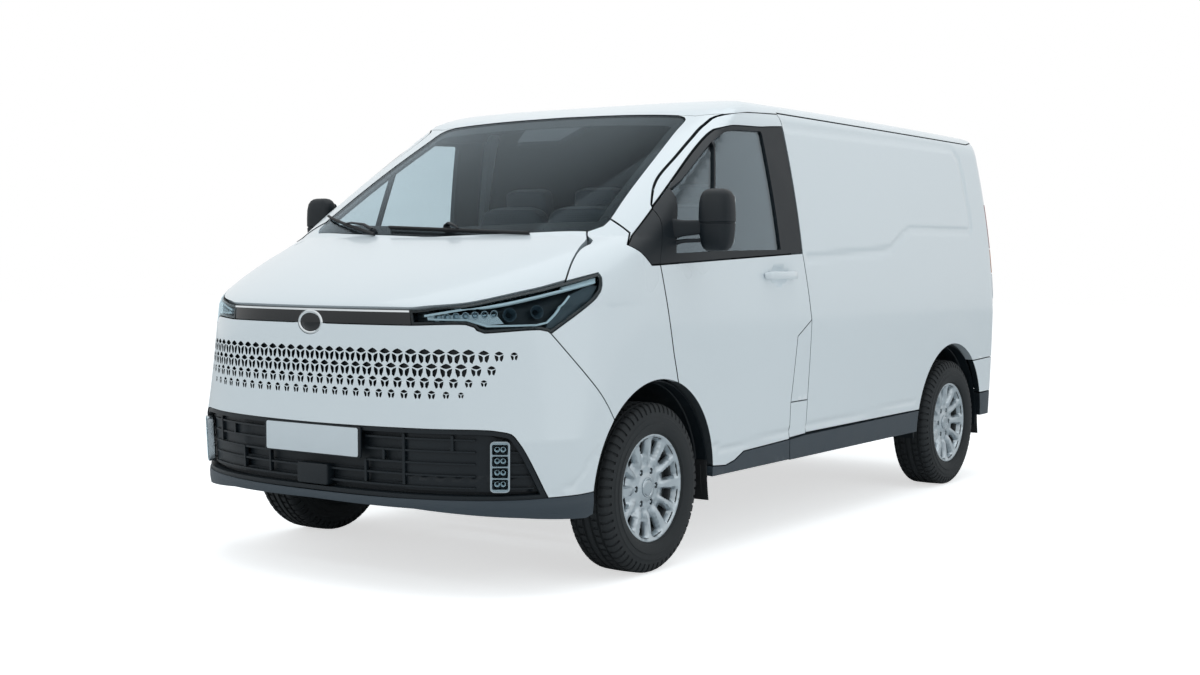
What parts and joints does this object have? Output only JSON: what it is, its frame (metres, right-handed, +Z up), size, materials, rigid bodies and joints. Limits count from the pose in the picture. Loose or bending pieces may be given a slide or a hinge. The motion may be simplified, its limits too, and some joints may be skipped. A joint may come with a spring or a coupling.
{
  "type": "panel van",
  "caption": "Mid-size panel van with a short sloping nose, hinged cab and rear doors, a lifting bonnet, steered front wheels and a hollow cab and load space.",
  "frame": {"origin": "on the ground, under the middle of the overall length and width", "axes": "+X forwards, +Y to the van's left, +Z up"},
  "size_m": [4.66, 2.3736, 1.99],
  "materials": {
    "paint": "gloss white body paint",
    "glass": "lightly tinted window glass",
    "trim_plastic": "grained blue-grey plastic",
    "dark_plastic": "black moulded plastic",
    "lamp_lens": "clear lamp lens over a dark housing",
    "red_lens": "red lamp lens",
    "grey_panel": "light grey inner panel",
    "floor_steel": "grey painted steel",
    "black_steel": "black chassis paint",
    "cast_alloy": "cast aluminium",
    "wheel_alloy": "silver painted wheel",
    "tyre": "black rubber",
    "seat_fabric": "dark woven seat cloth"
  },
  "bodies": {
    "body": {"floor_pan": "floor_steel", "left_side": "paint", "right_side": "paint", "sliding_door": "paint", "roof": "paint", "windscreen_frame": "paint", "windscreen": "glass", "bulkhead": "grey_panel", "wings": "paint", "fascia": "paint", "lower_grille": "dark_plastic", "front_lip": "trim_plastic", "grille_bar": "dark_plastic", "headlamps": "lamp_lens", "fog_lamps": "lamp_lens", "dashboard": "dark_plastic", "steering_wheel": "dark_plastic", "seats": "seat_fabric", "sill_trims": "trim_plastic", "rear_bumper": "trim_plastic", "tail_lamps": "red_lens", "front_subframe": "black_steel", "drive_motor": "cast_alloy", "battery_pack": "black_steel", "rear_axle": "black_steel", "arch_liners": "dark_plastic"},
    "left_door": {"left_front_door": "paint", "left_door_glass": "glass", "left_mirror": "dark_plastic"},
    "right_door": {"right_front_door": "paint", "right_door_glass": "glass", "right_mirror": "dark_plastic"},
    "left_back_door": {"left_rear_door": "paint"},
    "right_back_door": {"right_rear_door": "paint"},
    "bonnet_lid": {"bonnet": "paint"},
    "left_steering": {"left_knuckle": "black_steel"},
    "right_steering": {"right_knuckle": "black_steel"},
    "front_left": {"front_left_tyre": "tyre", "front_left_wheel": "wheel_alloy"},
    "front_right": {"front_right_tyre": "tyre", "front_right_wheel": "wheel_alloy"},
    "rear_left": {"rear_left_tyre": "tyre", "rear_left_wheel": "wheel_alloy"},
    "rear_right": {"rear_right_tyre": "tyre", "rear_right_wheel": "wheel_alloy"}
  },
  "joints": [
    {"name": "left_steer", "type": "hinge", "parent": "body", "child": "left_steering", "pos_m": [1.38, 0.8555, 0.343], "axis": [0, 0, 1], "range_deg": [-34, 34]},
    {"name": "right_steer", "type": "hinge", "parent": "body", "child": "right_steering", "pos_m": [1.38, -0.8555, 0.343], "axis": [0, 0, 1], "range_deg": [-34, 34]},
    {"name": "front_left_spin", "type": "hinge", "parent": "left_steering", "child": "front_left", "pos_m": [1.38, 0.8675, 0.343], "axis": [0, 1, 0], "continuous": true},
    {"name": "front_right_spin", "type": "hinge", "parent": "right_steering", "child": "front_right", "pos_m": [1.38, -0.8675, 0.343], "axis": [0, 1, 0], "continuous": true},
    {"name": "rear_left_spin", "type": "hinge", "parent": "body", "child": "rear_left", "pos_m": [-1.62, 0.8675, 0.343], "axis": [0, 1, 0], "continuous": true},
    {"name": "rear_right_spin", "type": "hinge", "parent": "body", "child": "rear_right", "pos_m": [-1.62, -0.8675, 0.343], "axis": [0, 1, 0], "continuous": true},
    {"name": "left_door_hinge", "type": "hinge", "parent": "body", "child": "left_door", "pos_m": [1.412, 1, 0.9], "axis": [0, 0, -1], "range_deg": [0, 68]},
    {"name": "right_door_hinge", "type": "hinge", "parent": "body", "child": "right_door", "pos_m": [1.412, -1, 0.9], "axis": [0, 0, 1], "range_deg": [0, 68]},
    {"name": "left_back_hinge", "type": "hinge", "parent": "body", "child": "left_back_door", "pos_m": [-2.268, 0.8435, 1.2], "axis": [0, 0, -1], "range_deg": [0, 90]},
    {"name": "right_back_hinge", "type": "hinge", "parent": "body", "child": "right_back_door", "pos_m": [-2.268, -0.8435, 1.2], "axis": [0, 0, 1], "range_deg": [0, 90]},
    {"name": "bonnet_hinge", "type": "hinge", "parent": "body", "child": "bonnet_lid", "pos_m": [1.5, 0, 1.405], "axis": [0, -1, 0], "range_deg": [0, 50]}
  ],
  "couplings": [
    {"joint": "right_steer", "follows": "left_steer", "ratio": 1}
  ]
}
